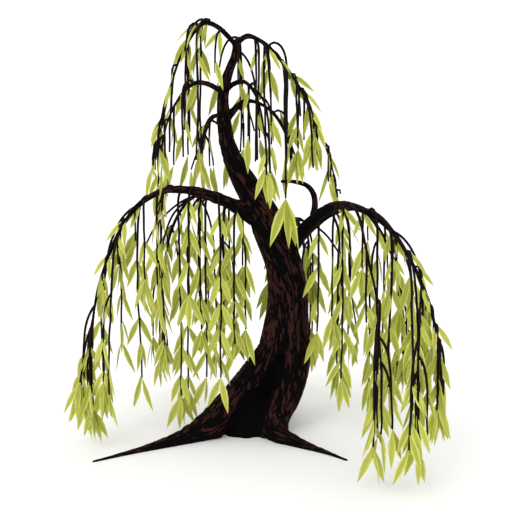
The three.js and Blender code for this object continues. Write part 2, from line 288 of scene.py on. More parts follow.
# A shoot nearer to its bough than NEAR loops up over it or hangs down from under it. Lifts in degrees.
NEAR = 0.16
NEAR_TURN = 0.5
LOOP_SHARE = 0.45
LOOPED, LOOP_REACH = (76, 88), (0.12, 0.2)
DROPPED, DROP_REACH = (-50, 0), (0.01, 0.05)
STEEP = -50  # slope of a bough from which nothing loops over it
LOWEST_LIFT = math.radians(-75)  # the lift that a shoot nears as its reach shrinks
SHRINKS = (1, 0.8, 0.6, 0.4, 0.2, 0.05)  # shares of its reach tried until a shoot hangs in its foliage
HANGING = 3  # lengths of a shoot's arch after which it hangs straight
ABOVE, BELOW = 9.0, -1.0  # heights over and under all foliage
EDGE = 0.05  # room between a shoot's place and the side of its foliage
EDGE_STEP = 0.04
WIDEST = 1.2  # farthest place to the side of a bough
SHOOT_STEP = 0.045
LONGEST = 6
SWAYS = [(0.024, 0.8), (0.009, 0.22)]  # how far a shoot wanders to and fro, and over what length
SWAY_START = 0.35  # length over which it begins to
SHOOT_RADII = (0.0165, 0.011)
SHOOT_TAPER = 0.8
SHOOT_SIDES = 5
SHOOT_LEAST = 0.08
WOOD_ROOM = 1.3  # how far shoots keep from the axis of the trunk and its legs, in their radii
LEAF_ROOM = 1.0  # the same for leaves
ROOTED = 3  # samples at a shoot's foot that may lie nearer, and the fewest it has
FREED = 2  # samples cut off before the first other one that does
TIP_ROOM = 0.08  # height of a shoot's tip over the lower edge of its foliage
SHORTEST = 0.6  # how much shorter than its foliage the shortest shoot is, as a share
END_SHORTEST = 0.3  # the same for a shoot from a bough's end
SHORTNESS = 1.9  # over 1, so that most shoots are long
BARE_LEAST = 0.05
# Forks: the share of shoots that have one and their least length, its place as a share of the samples,
# its turn, lift in degrees, arch, how much shorter it is, its width as a share and its bare length.
FORK_SHARE, FORK_LEAST = 0.3, 0.9
FORK_PLACE, FORK_TURN, FORK_LIFT, FORK_ARCH = (0.15, 0.5), (1.0, 5.3), (-60, -35), (0.1, 0.2)
FORK_SHORTER, FORK_WIDTH, FORK_BARE = (0, 0.25), 0.85, 0.12
# Shoots at a bough's end: how far back along it, their turn from it, degrees they lift over it, and how
# leafy a bough has to be to have them.
ENDS = [(0.0, 0.0, 5, 0.0), (0.12, -0.9, 30, 0.4), (0.26, 0.9, 30, 0.6), (0.42, -0.5, 25, 0.6)]
END_REACH, END_SPREAD = (0.02, 0.06), 0.3  # reach of the last one, and how much more for each metre back
FALLING = (-72, -38)  # slopes of a bough where short shoots stand along it
MARGIN_GAP = 0.22
MARGIN_RADIUS = 0.033  # radius at its crest of a bough that has them
MARGIN_LENGTH = (0.1, 0.45)
MARGIN_TURN = 1.3
MARGIN_LIFT = (15, 50)  # degrees over the slope of the bough
MARGIN_ARCH = (0.03, 0.08)
PAIR_GAP, PAIR_SPACING = 0.35, (0.85, 1.2)
PAIR_STAGGER = (0, 0.04)
PAIR_LAST = 0.07  # least length between the last pair and the tip
PAIR_TURN = 0.2
LEAF_LENGTH = (0.36, 0.43)
LEAF_FIRST, LEAF_GROWN = 0.8, 0.4  # the first leaves' size as a share, and the length to full size
LEAF_SLIMNESS = 0.205  # width over length
LEAF_WEIGHT = np.array([0, 0, -1.3])  # how far leaves hang rather than follow their shoot
LEAF_SPREAD = (14, 27)  # degrees between a leaf and its shoot
LEAF_LEAN, LEAF_ROLL = 0.1, 0.2  # how far leaves lean out or in and roll, in radians
LEAF_LEVEL = 0.2  # least fall per length assumed in fitting a leaf above the ground
SPRAY_TURN = 0.3
# At a tip: angle between a leaf and the shoot, its turn round the shoot, and how often it is there.
TIP_LEAVES = [(-0.34, 0, 1.15), (0.0, 0, 0.6), (0.32, 0, 1.15), (-0.3, 1.6, 0.35), (0.3, 1.5, 0.35)]
TIP_TURN, TIP_SIZE = 0.06, (0.9, 1.05)
CROSSED = 0.3  # share of pairs that face another way than their spray
CROSSWISE = (0.7, 2.4)
CLEARANCE = 0.02  # least height of a leaf over the ground
CROWN_AXIS = np.array([0.25, 0.9])  # leaves face away from it
FRONTAL = 1.5  # over 1, so that more of them face front or back
BOX_SHARE, BOX_MARGIN = 0.027, 0.006  # how far leaves may pass the CAD box: share of a side, metres
# Shoots with a place of their own: bough, distance out, turn from the bough, reach, height of the tip,
# bare length, leaf scale.
TRAILERS = [
    ("top_right", 0.62, -1.2, 0.18, 2.84, 1.8, 1.4),
    ("top_right", 0.36, -1.2, 0.18, 3.16, 1.2, 1.0),
    ("left", 0.93, 0.0, 0.04, 0.46, 0.4, 1.0),
    ("left", 0.60, 0.0, 0.04, 0.66, 0.4, 1.0),
    ("left", 0.32, 2.4, 0.16, 1.25, 0.3, 1.0),
    ("top_left", 0.86, 0.0, 0.04, 2.98, 0.6, 1.0),
    ("top_right", 0.72, 0.0, 0.04, 3.40, 0.5, 1.0),
]
TRAILER_LIFT = -0.8
TRAILER_LEAFY = (1, 2)  # every leaf that there can be
CENTRE_GREENS = [(0.413, 0.428, 0.067), (0.446, 0.461, 0.076), (0.379, 0.397, 0.059)]
MARGIN_GREENS = [(0.610, 0.640, 0.120), (0.540, 0.570, 0.095)]
SHOOT_COLOR = (0.0055, 0.0036, 0.0030)

# ---- Stage ----
FLOOR_RADIUS, FLOOR_SIDES, FLOOR_HEIGHT = 150, 96, -0.002
SKY_STRENGTH = 1.2
SUN_ENERGY, SUN_ANGLE, SUN_WAY = 0.4, math.radians(25), Vector((0.45, 0.7, -1.0))


def lerp(a, b, t):
    return a + (b - a) * t


def smoothstep(low, high, value):
    t = np.clip((value - low) / (high - low), 0, 1)
    return t * t * (3 - 2 * t)


def unit(v):
    return v / np.maximum(np.linalg.norm(v, axis=-1, keepdims=True), 1e-9)


# ---- Noise ----
noise_rng = np.random.default_rng(SEED)
SHUFFLE = noise_rng.permutation(256)
SLOPES = unit(noise_rng.normal(size=(256, 3)))
NOISE_GAIN = 1.5


def noise(points):
    """Smooth noise, mostly from -1 to 1, with about one lump to a unit of length."""
    cell = np.floor(points).astype(int)
    local = points - cell
    ease = local**3 * (local * (local * 6 - 15) + 10)
    total = np.zeros(len(points))
    for corner in itertools.product((0, 1), repeat=3):
        x, y, z = (cell + corner).T & 255
        slope = SLOPES[SHUFFLE[(SHUFFLE[(SHUFFLE[x] + y) & 255] + z) & 255]]
        weight = np.prod(np.where(corner, ease, 1 - ease), axis=1)
        total += weight * np.einsum("ij,ij->i", slope, local - corner)
    return total * NOISE_GAIN


def wave(lengths, row):
    """Noise along one line, a different one for every row."""
    return noise(np.column_stack([lengths, np.full_like(lengths, row * 7.3), np.full_like(lengths, 0.5)]))


# ---- Curves ----
def arc_lengths(path, power=1):
    """Sums along a path of the distances between its points, each to a power."""
    steps = np.linalg.norm(np.diff(path[:, :3], axis=0), axis=1)
    return np.concatenate([[0], np.cumsum(steps**power)])


def resample(rows):
    """Rows of numbers along a path, taken again at even distances."""
    lengths = arc_lengths(rows)
    count = max(int(math.ceil(lengths[-1] / LIMB_STEP)), 2)
    wanted = np.linspace(0, lengths[-1], count + 1)
    return np.column_stack([np.interp(wanted, lengths, column) for column in rows.T])


def smooth_path(stations):
    """The centripetal Catmull-Rom curve through [x, y, z, radius], sampled at even distances."""
    points = np.asarray(stations, float)
    ends = np.vstack([2 * points[0] - points[1], points, 2 * points[-1] - points[-2]])
    samples = []
    for i in range(len(points) - 1):
        p = ends[i : i + 4]
        knots = arc_lengths(p, 0.5)
        t = lerp(knots[1], knots[2], np.linspace(0, 1, SPAN_SAMPLES, endpoint=False))[:, None]
        for span in (1, 2):
            p = [
                ((knots[k + span] - t) * p[k] + (t - knots[k]) * p[k + 1]) / (knots[k + span] - knots[k])
                for k in range(len(p) - 1)
            ]
        samples.append(((knots[2] - t) * p[0] + (t - knots[1]) * p[1]) / (knots[2] - knots[1]))
    samples.append(points[-1:])
    return resample(np.vstack(samples))


def frames_along(path):
    """Tangents, and two sides square to them that turn as little as they can."""
    tangents = unit(np.gradient(path, axis=0))
    side = np.cross(tangents[0], np.eye(3)[np.abs(tangents[0]).argmin()])
    sides = []
    for tangent in tangents:
        side = unit(side - tangent * side.dot(tangent))
        sides.append(side)
    sides = np.array(sides)
    return tangents, sides, np.cross(tangents, sides)


def circle(count):
    turn = np.linspace(0, 2 * math.pi, count, endpoint=False)
    return np.cos(turn), np.sin(turn)


def rings_round(path, sides, others, radii, count):
    """Rings of points round a path, in the plane of its two sides."""
    cos, sin = circle(count)
    ring = cos[None, :, None] * sides[:, None] + sin[None, :, None] * others[:, None]
    return path[:, None] + ring * radii[:, None, None]


class Limb:
    """A path with a radius at every point, and the bark's coordinates along and around it."""

    def __init__(self, rows):
        self.path, self.radii = rows[:, :3], rows[:, 3]
        self.lengths = arc_lengths(rows)
        self.tangents, self.sides, self.others = frames_along(self.path)

    def ring_points(self, first, last, count, widths):
        """Rings of points round the path between two of its samples."""
        cut = slice(first, last)
        radii = self.radii[cut] * widths
        return rings_round(self.path[cut], self.sides[cut], self.others[cut], radii, count)

    def bark_coordinates(self, points):
        """How far out each point lies in radii, the radius there, and its place across and along."""
        points = np.asarray(points, np.float32)
        path = self.path.astype(np.float32)
        squares = (path**2).sum(1)[None, :] - 2 * points @ path.T
        nearest = squares.argmin(1)
        offset = points - self.path[nearest]
        radius = self.radii[nearest]
        along = self.lengths[nearest] + (offset * self.tangents[nearest]).sum(1)
        across = [(offset * axes[nearest]).sum(1) for axes in (self.sides, self.others)]
        return np.linalg.norm(offset, axis=1) / radius, radius, np.column_stack([*across, along])


# ---- Meshes ----
class Shapes:
    """Points and faces of many shapes, gathered to become one mesh."""

    def __init__(self):
        self.points, self.faces, self.count = [], [], 0

    def add(self, points, *faces):
        self.points.append(points)
        self.faces.extend(f + self.count for f in faces)
        self.count += len(points)

    def add_rings(self, rings):
        """A closed surface through rings of points, with a fan over each end."""
        steps, count = rings.shape[:2]
        points = np.vstack([rings.reshape(-1, 3), rings[0].mean(0), rings[-1].mean(0)])
        j = np.arange(count)
        following = (j + 1) % count
        start = (np.arange(steps - 1) * count)[:, None]
        quads = np.stack([start + j, start + following, start + count + following, start + count + j], -1)
        base = (steps - 1) * count
        first = np.column_stack([np.full(count, steps * count), following, j])
        last = np.column_stack([np.full(count, steps * count + 1), base + j, base + following])
        self.add(points, quads.reshape(-1, 4), first, last)

    def add_tube(self, path, radii, count):
        """A thin tube, closed at both ends."""
        _, sides, others = frames_along(path)
        self.add_rings(rings_round(path, sides, others, radii, count))


def put_in_scene(name, data):
    obj = bpy.data.objects.new(name, data)
    bpy.context.scene.collection.objects.link(obj)
    return obj


def make_object(name, shapes, materials, face_materials=None, smooth=True):
    mesh = bpy.data.meshes.new(name)
    points = np.vstack(shapes.points).astype(np.float32)
    corners = np.concatenate([f.ravel() for f in shapes.faces]).astype(np.int32)
    sizes = np.concatenate([np.full(len(f), f.shape[1], np.int32) for f in shapes.faces])
    mesh.vertices.add(len(points))
    mesh.vertices.foreach_set("co", points.ravel())
    mesh.loops.add(len(corners))
    mesh.loops.foreach_set("vertex_index", corners)
    mesh.polygons.add(len(sizes))
    mesh.polygons.foreach_set("loop_start", np.concatenate([[0], np.cumsum(sizes)[:-1]]).astype(np.int32))
    for material in materials:
        mesh.materials.append(material)
    if face_materials is not None:
        mesh.polygons.foreach_set("material_index", face_materials.astype(np.int32))
    mesh.polygons.foreach_set("use_smooth", np.full(len(sizes), smooth))
    mesh.update(calc_edges=True)
    return put_in_scene(name, mesh)


def points_of(mesh, what="co"):
    values = np.zeros(len(mesh.vertices) * 3, np.float32)
    mesh.vertices.foreach_get(what, values)
    return values.reshape(-1, 3).astype(float)


def set_point_values(mesh, name, values):
    attribute = mesh.attributes.new(name, "FLOAT", "POINT")
    attribute.data.foreach_set("value", np.asarray(values, np.float32))


# ---- Materials ----
def set_inputs(node, inputs):
    for key, value in inputs.items():
        node.inputs[key.replace("_", " ")].default_value = value


class Surface:
    """A material, with its nodes and the links between them."""

    def __init__(self, name, **inputs):
        self.material = bpy.data.materials.new(name)
        self.material.use_nodes = True
        self.shader = self.material.node_tree.nodes["Principled BSDF"]
        set_inputs(self.shader, inputs)

    def node(self, kind, **inputs):
        made = self.material.node_tree.nodes.new("ShaderNode" + kind)
        set_inputs(made, inputs)
        return made

    def link(self, source, output, target, socket):
        self.material.node_tree.links.new(source.outputs[output], target.inputs[socket])

    def noise_texture(self, **inputs):
        made = self.node("TexNoise", **inputs)
        self.link(self.node("TexCoord"), "Object", made, "Vector")
        return made

    def finish(self, roughness, rough, output, strength, depth, uneven):
        """Roughness over a range by one node's output, and bump by another node."""
        spread = self.node("MapRange", To_Min=roughness[0], To_Max=roughness[1])
        self.link(rough, output, spread, "Value")
        self.link(spread, "Result", self.shader, "Roughness")
        bump = self.node("Bump", Strength=strength, Distance=depth)
        self.link(uneven, "Fac", bump, "Height")
        self.link(bump, "Normal", self.shader, "Normal")
        return self.material


def bark_material():
    """Red-brown ridges between near-black furrows, with fine grain on both."""
    surface = Surface("willow_bark", Specular_IOR_Level=0.1)
    grain = surface.noise_texture(Scale=38.0, Detail=6.0, Roughness=0.65)
    patches = surface.noise_texture(Scale=3.2, Detail=3.0)
    ridges = surface.node("Attribute")
    # relief is zero in the hollow between the front legs, so there the ramp paints shade in the furrows'
    # near-black.
    ridges.attribute_name = "relief"

    roughened = surface.node("Math")
    roughened.operation = "MULTIPLY_ADD"
    surface.link(grain, "Fac", roughened, 0)
    roughened.inputs[1].default_value = BARK_GRAIN
    roughened.inputs[2].default_value = -BARK_GRAIN / 2
    height = surface.node("Math")
    height.operation = "ADD"
    height.use_clamp = True
    surface.link(ridges, "Fac", height, 0)
    surface.link(roughened, 0, height, 1)

    ramp = surface.node("ValToRGB")
    stops = ramp.color_ramp.elements
    for place, color in BARK_COLORS[1:-1]:
        stops.new(place).color = (*color, 1)
    for end in (0, -1):
        stops[end].color = (*BARK_COLORS[end][1], 1)
    surface.link(height, 0, ramp, "Fac")

    tint = surface.node("Mix")
    tint.data_type = "RGBA"
    tint.blend_type = "MULTIPLY"
    tint.inputs["B"].default_value = (*PATCH_TINT, 1)
    surface.link(patches, "Fac", tint, "Factor")
    surface.link(ramp, "Color", tint, "A")
    surface.link(tint, "Result", surface.shader, "Base Color")
    return surface.finish((0.95, 0.72), height, 0, 0.7, 0.006, grain)


def shoot_material():
    """A near-black brown, with a fine uneven surface."""
    surface = Surface("shoot_bark", Base_Color=(*SHOOT_COLOR, 1), Specular_IOR_Level=0.1)
    grain = surface.noise_texture(Scale=160.0, Detail=3.0)
    return surface.finish((0.7, 0.9), grain, "Fac", 0.5, 0.002, grain)


def leaf_material(name, color):
    """A plain green, with veins pressed into the blade."""
    surface = Surface(name, Base_Color=(*color, 1), Specular_IOR_Level=0.25)
    blade = surface.node("UVMap")
    blade.uv_map = "blade"
    veins = surface.node("TexWave", Scale=9.0, Distortion=1.2, Detail=1.0)
    veins.bands_direction = "DIAGONAL"
    surface.link(blade, "UV", veins, "Vector")
    return surface.finish((0.42, 0.58), veins, "Fac", 0.35, 0.001, veins)


# ---- Boughs ----
def height_of(b, out):
    """The height of a bough's axis at distances from its root in plan."""
    out = np.asarray(out, float)
    lift = b.rise * np.sin(math.pi / 2 * np.clip(out / b.crest, 0, 1))
    share = np.clip((out - b.crest) / (b.reach - b.crest), 0, 1)
    fall = b.drop * (1 - (1 - share**b.power) ** (1 / b.power))
    return b.root[2] + lift - fall


def in_plan(b, out, aside):
    """x and y at a distance out on a bough's bearing and a distance to its left."""
    east, north = math.cos(b.bearing), math.sin(b.bearing)
    return b.root[0] + out * east - aside * north, b.root[1] + out * north + aside * east


def bough_limb(b, row):
    """A bough as a limb, over its rise and its fall, with a slight wander."""
    rise = np.linspace(0, 1, SPAN_SAMPLES)
    fall = np.linspace(0, b.end, 2 * SPAN_SAMPLES - 1)[1:]
    shares = np.sin(math.pi / 2 * fall) ** (2 / b.power)
    outs = np.concatenate([rise * b.crest, b.crest + shares * (b.reach - b.crest)])
    thick, thin, end = b.radii
    rising = lerp(thick, thin, rise**RISE_TAPER)
    falling = lerp(thin, end, (fall / b.end) ** FALL_TAPER)
    radii = np.concatenate([rising, falling])
    x, y = in_plan(b, outs, 0)
    rows = resample(np.column_stack([x, y, height_of(b, outs), radii]))
    lengths = arc_lengths(rows)
    settled = smoothstep(0, WOBBLE_START, lengths)[:, None]
    wander = np.column_stack([wave(lengths / WOBBLE_LENGTH, row * 3 + k) for k in range(3)])
    rows[:, :3] += WOBBLE * settled * wander
    rows[:, 3] *= 1 + SWELLING * wave(lengths / SWELLING_LENGTH, row + 50)
    return Limb(rows)


def fused_end(limb):
    """The sample where a bough stops being part of the fused wood."""
    thin = np.nonzero(limb.radii < THINNEST_FUSED)[0]
    last = thin[0] if len(thin) else len(limb.path) - 1
    return max(int(last), int(FUSED_LEAST / LIMB_STEP))


# ---- Bark ----
def furrows(limb_row, radius, places):
    """The bark's height from 0 to 1 and its flutes from -1 to 1, at places across and along a limb.

    Numbers that are added, or multiply the row, only set the noises apart.
    """
    along = places[:, 2]
    turn = TWIST * along
    u = places[:, 0] * np.cos(turn) - places[:, 1] * np.sin(turn)
    v = places[:, 0] * np.sin(turn) + places[:, 1] * np.cos(turn)
    scale = 1 / (FURROW_WIDTH * np.sqrt(radius / FURROW_RADIUS))
    fine = np.column_stack([u * scale, v * scale, along / FURROW_LENGTH + limb_row * 9.7])
    grain, bend = FURROW_WARP
    warp = np.column_stack([noise(fine * grain + 31), noise(fine * grain + 57), 0 * along])
    fine = fine + bend * warp
    finer, strength = FINE_FURROWS
    ridges = noise(fine) + strength * noise(fine * finer + 11)
    slow = np.column_stack([u / FLUTE_WIDTH, v / FLUTE_WIDTH, along / FLUTE_LENGTH + limb_row * 5.1])
    broad = np.column_stack([u / PATCH_WIDTH, v / PATCH_WIDTH, along / PATCH_LENGTH + limb_row * 3.3])
    shift = THIN_SHIFT * (1 - np.minimum(radius / THICK_RADIUS, 1)) + PATCH_SHIFT * noise(broad)
    return smoothstep(FURROW_EDGES[0] + shift, FURROW_EDGES[1] + shift, np.abs(ridges)), noise(slow)


def relief(limbs, points):
    """Height of the bark, flutes and radius at points on fused limbs, and how near a joint they lie."""
    found = [limb.bark_coordinates(points) for limb in limbs]
    ratios = np.array([ratio for ratio, _, _ in found])
    best = ratios.min(0)
    sums = np.zeros((4, len(points)))
    for row, (ratio, limb_radius, places) in enumerate(found):
        weight = np.exp(-(ratio - best) / BLEND)
        near = weight > FAINTEST
        radius = limb_radius[near]
        sums[:, near] += weight[near] * [*furrows(row, radius, places[near]), radius, 0 * radius + 1]
    height, flute, radius = sums[:3] / sums[3]
    second = np.partition(ratios, 1, axis=0)[1]
    return height, flute, radius, np.exp(-(((second - best) / JOINT) ** 2))


def smoothed(points, edges, strength):
    """Points drawn towards their neighbours, by a strength for each."""
    counts = np.maximum(np.bincount(edges.ravel(), minlength=len(points)), 1)[:, None]
    for _ in range(SMOOTHING_ROUNDS):
        for push in SMOOTHING_PUSHES:
            sums = np.zeros_like(points)
            for axis, end in itertools.product(range(3), (0, 1)):
                others = points[edges[:, 1 - end], axis]
                sums[:, axis] += np.bincount(edges[:, end], others, len(points))
            step = (sums / counts - points) * push
            points = points + step * (1 if push > 0 else 1 - strength)
    return points


def hollow_and_painted_shade_at(points, normals):
    """How deep points lie in the carved recess between the front legs, from 0 to 1, which also sets how
    much painted shade blackens their bark.
    """
    heights, lefts, rights = np.array(HOLLOW).T
    z = points[:, 2]
    ragged = HOLLOW_EDGE * noise(points * HOLLOW_GRAIN)
    from_left = points[:, 0] - np.interp(z, heights, lefts)
    from_right = np.interp(z, heights, rights) - points[:, 0]
    in_front = (z < heights[-1]) & (points[:, 1] < 0) & (normals[:, 1] < HOLLOW_FACING)
    inside = np.where(in_front, np.minimum(from_left, from_right) + ragged, -1)
    return smoothstep(-HOLLOW_EDGE, HOLLOW_EDGE, inside)


def furrow_push(radius, height):
    """How far the bark's height moves a surface outwards."""
    return np.minimum(FURROW_DEPTH, FURROW_SHARE * radius) * (height - FURROW_LEVEL)


def ring_sides(radius, limits):
    edge, fewest, most = limits
    return int(np.clip(2 * math.pi * radius / edge, fewest, most))


def cut_at_ground(mesh):
    """Cuts a closed mesh flat at the ground and closes the cut."""
    form = bmesh.new()
    form.from_mesh(mesh)
    everything = form.verts[:] + form.edges[:] + form.faces[:]
    cut = bmesh.ops.bisect_plane(form, geom=everything, plane_no=(0, 0, -1), clear_outer=True)
    rim = [e for e in cut["geom_cut"] if isinstance(e, bmesh.types.BMEdge)]
    sole = bmesh.ops.holes_fill(form, edges=rim, sides=0)["faces"]
    for sharp in (*rim, *sole):
        sharp.smooth = False
    form.to_mesh(mesh)
    form.free()


def fused_wood(limbs, material):
    """The trunk, its legs and the thick ends of the boughs as one mesh with the bark's relief, and
    painted shade in the recess between the front legs.
    """
    shapes = Shapes()
    for limb, last in limbs:
        widths = np.ones(last)
        if last < len(limb.path):
            widths[-HALF_OVERLAP:] = np.linspace(1, FUSED_END, HALF_OVERLAP)
        sides = ring_sides(limb.radii.max(), RING_EDGE)
        shapes.add_rings(limb.ring_points(0, last, sides, widths))
    rough = make_object("bark_trunk_forms", shapes, [])
    fuse = rough.modifiers.new("fuse", "REMESH")
    fuse.mode = "VOXEL"
    fuse.voxel_size = VOXEL
    mesh = bpy.data.meshes.new_from_object(rough.evaluated_get(bpy.context.evaluated_depsgraph_get()))
    bpy.data.objects.remove(rough)

    edges = np.zeros(len(mesh.edges) * 2, np.int32)
    mesh.edges.foreach_get("vertices", edges)
    edges = edges.reshape(-1, 2)
    points = points_of(mesh)
    cores = [limb for limb, _ in limbs]
    points = smoothed(points, edges, relief(cores, points)[-1][:, None])
    mesh.vertices.foreach_set("co", points.astype(np.float32).ravel())
    mesh.update()

    height, flute, radius, _ = relief(cores, points)
    normals = points_of(mesh, "normal")
    hollow_and_painted_shade = hollow_and_painted_shade_at(points, normals)
    # Painted shade: in the hollow between the front legs the bark's height is set to that of the black
    # furrow bottoms.
    height = height * (1 - hollow_and_painted_shade)
    push = furrow_push(radius, height) + FLUTE_DEPTH * flute * np.minimum(radius / FLUTE_RADIUS, 1)
    points = points + normals * push[:, None]
    points[:, 1] += HOLLOW_DEPTH * hollow_and_painted_shade
    mesh.vertices.foreach_set("co", points.astype(np.float32).ravel())
    # The relief attribute also carries that painted shade of the hollow.
    set_point_values(mesh, "relief", height)
    mesh.materials.append(material)
    mesh.polygons.foreach_set("use_smooth", np.ones(len(mesh.polygons), bool))
    mesh.update()
    cut_at_ground(mesh)
    mesh.name = "bark_trunk"
    return put_in_scene("bark_trunk", mesh)


def swept_wood(limbs, material):
    """The thin ends of the boughs as tubes with the bark's relief: (limb, its row, first sample)."""
    shapes = Shapes()
    heights = []
    for limb, row, first in limbs:
        count = len(limb.path) - first
        sides = ring_sides(limb.radii[first], TUBE_EDGE)
        widths = np.ones(count)
        if first:
            widths[:HALF_OVERLAP] = np.linspace(TUBE_START, 1, HALF_OVERLAP)
        rings = limb.ring_points(first, len(limb.path), sides, widths)
        radius = np.repeat(limb.radii[first:] * widths, sides)
        across = np.column_stack([np.tile(c, count) for c in circle(sides)])
        places = np.column_stack([across * radius[:, None], np.repeat(limb.lengths[first:], sides)])
        height, _ = furrows(row, radius, places)
        outward = unit(rings - limb.path[first:][:, None]).reshape(-1, 3)
        push = furrow_push(radius, height)
        shapes.add_rings((rings.reshape(-1, 3) + outward * push[:, None]).reshape(count, sides, 3))
        heights.append(np.concatenate([height, [0.5, 0.5]]))
    obj = make_object("bark_boughs", shapes, [material])
    set_point_values(obj.data, "relief", np.concatenate(heights))
    return obj


# ---- Foliage ----
class Envelope:
    """The space that a bough's foliage nodes hold, met along upright lines."""

    def __init__(self, b):
        self.trees, outs = [], []
        for name in b.curtains:
            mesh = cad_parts[f"foliage_{name}"].data
            corners = points_of(mesh)
            faces = [tuple(p.vertices) for p in mesh.polygons]
            self.trees.append(BVHTree.FromPolygons([Vector(c) for c in corners], faces))
            flat = corners[:, :2] - np.array(b.root[:2])
            outs.extend(flat @ [math.cos(b.bearing), math.sin(b.bearing)])
        self.first, self.last = min(outs), max(outs)

    def half_width(self, b, out, side):
        """How far the foliage reaches to one side of the bough at a distance out."""
        width = EDGE
        while width < WIDEST and self.span(*in_plan(b, out, side * width)):
            width += EDGE_STEP
        return width - EDGE

    def span(self, x, y):
        """The lowest and highest foliage over a point in plan, or None."""
        tops, feet = (
            [hit.z for t in self.trees if (hit := t.ray_cast((x, y, z), (0, 0, way))[0])]
            for z, way in ((ABOVE, -1), (BELOW, 1))
        )
        return (min(feet), max(tops)) if tops and feet else None


class Foliage:
    """The shoots and leaves of one region."""

    def __init__(self):
        self.shoots = Shapes()
        self.leaves = []
        self.sprays = 0

    def grow_leaf(self, at, way, facing, length):
        """Adds a leaf, unless it would leave the box or run into the trunk."""
        middle, tip = at + way * length / 2, at + way * length
        inside = ((tip > LEAF_BOX[0]) & (tip < LEAF_BOX[1])).all()
        if inside and wood_ratio([middle, tip]).min() > LEAF_ROOM:
            self.leaves.append((*at, *way, *facing, length, self.sprays))


def reach_of(lift):
    """How far from its start, in arch lengths, a shoot hangs that sets off at a lift over level."""
    turned = np.linspace(0, lift + math.pi / 2, 41)[1:]
    return float((np.sin(turned) / turned).mean() * turned[-1])


def shoot_path(start, heading, lift, arch, rng):
    """A shoot that sets off at a lift over level, turns down over an arch and hangs to the ground."""
    s = np.arange(0, LONGEST, SHOOT_STEP)
    climb = -math.pi / 2 + (lift + math.pi / 2) * np.exp(-s / arch)
    forward, upward = (
        np.concatenate([[0], np.cumsum(way(climb))[:-1]]) * SHOOT_STEP for way in (np.cos, np.sin)
    )
    loose = 1 - np.exp(-s / SWAY_START)
    sway = [
        loose * sum(far * wave(s / long, rng.integers(1000)) for far, long in SWAYS) for _ in range(2)
    ]
    x = start[0] + forward * math.cos(heading) + sway[0]
    y = start[1] + forward * math.sin(heading) + sway[1]
    path = np.column_stack([x, y, start[2] + upward])
    return path[: np.nonzero(path[:, 2] < 0)[0][0]]


def dress(foliage, path, bare, leafy, rng, scale=1.0):
    """Leaves in pairs down a shoot, and a few at its tip, these at a scale of their usual size."""
    foliage.sprays += 1
    lengths = arc_lengths(path)
    tangents = unit(np.gradient(path, axis=0))
    outward = path[-1, :2] - CROWN_AXIS
    facing = math.atan2(FRONTAL * outward[1], outward[0]) + rng.normal(0, SPRAY_TURN)

    def leaf(s, spread, turn, length):
        at, way = (
            np.array([np.interp(s, lengths, column) for column in rows.T]) for rows in (path, tangents)
        )
        way = unit(way + LEAF_WEIGHT)
        azimuth = facing + turn
        out = np.array([math.cos(azimuth), math.sin(azimuth), 0.0])
        aside = unit(np.cross(out, way))
        out = np.cross(way, aside)
        lean = rng.normal(0, LEAF_LEAN)
        direction = unit(way * math.cos(spread) + aside * math.sin(spread) + out * lean)
        normal = unit(out - direction * out.dot(direction))
        roll = rng.normal(0, LEAF_ROLL)
        normal = normal * math.cos(roll) + np.cross(direction, normal) * math.sin(roll)
        room = at[2] - CLEARANCE
        foliage.grow_leaf(at, direction, normal, min(length, room / max(-direction[2], LEAF_LEVEL)))

    s = bare
    total = lengths[-1]
    while s < total - PAIR_LAST:
        turn = rng.uniform(*CROSSWISE) if rng.random() < CROSSED else rng.normal(0, PAIR_TURN)
        for side in (-1, 1):
            if rng.random() < lerp(*leafy, s / total):
                spread = side * math.radians(rng.uniform(*LEAF_SPREAD))
                place = min(s + rng.uniform(*PAIR_STAGGER), total)
                size = lerp(LEAF_FIRST, 1, min((s - bare) / LEAF_GROWN, 1))
                leaf(place, spread, turn, size * rng.uniform(*LEAF_LENGTH))
        s += PAIR_GAP * rng.uniform(*PAIR_SPACING)
    for spread, turn, share in TIP_LEAVES:
        if rng.random() < share * leafy[1]:
            spread += rng.normal(0, TIP_TURN)
            leaf(total, spread, turn, scale * LEAF_LENGTH[1] * rng.uniform(*TIP_SIZE))


def hanging_path(envelope, start, heading, lift, reach, rng):
    """A shoot's path, its arch's length and the span of the foliage that it hangs in, or None."""
    for share in SHRINKS:
        lower = lerp(LOWEST_LIFT, lift, share)
        arch = reach * share / reach_of(lower)
        path = shoot_path(start, heading, lower, arch, rng)
        x, y = path[min(len(path) - 1, int(HANGING * arch / SHOOT_STEP)), :2]
        span = envelope.span(x, y)
        if span is not None:
            return path, arch, span
    return None


def add_shoot(foliage, path, thick, bare, leafy, rng, scale=1.0):
    """A shoot along a path, cut off above the trunk and its legs, with its leaves."""
    if len(path) > ROOTED:
        near = np.nonzero(wood_ratio(path[ROOTED:]) < WOOD_ROOM)[0]
        if len(near):
            path = path[: ROOTED + near[0] - FREED]
    if len(path) < ROOTED or arc_lengths(path)[-1] < SHOOT_LEAST:
        return None
    radii = lerp(thick, SHOOT_RADII[1], np.linspace(0, 1, len(path)) ** SHOOT_TAPER)
    foliage.shoots.add_tube(path, radii, SHOOT_SIDES)
    dress(foliage, path, bare, leafy, rng, scale)
    return path


def cut_at(path, foot):
    return path[: max(int((path[:, 2] > foot).sum()), ROOTED)]


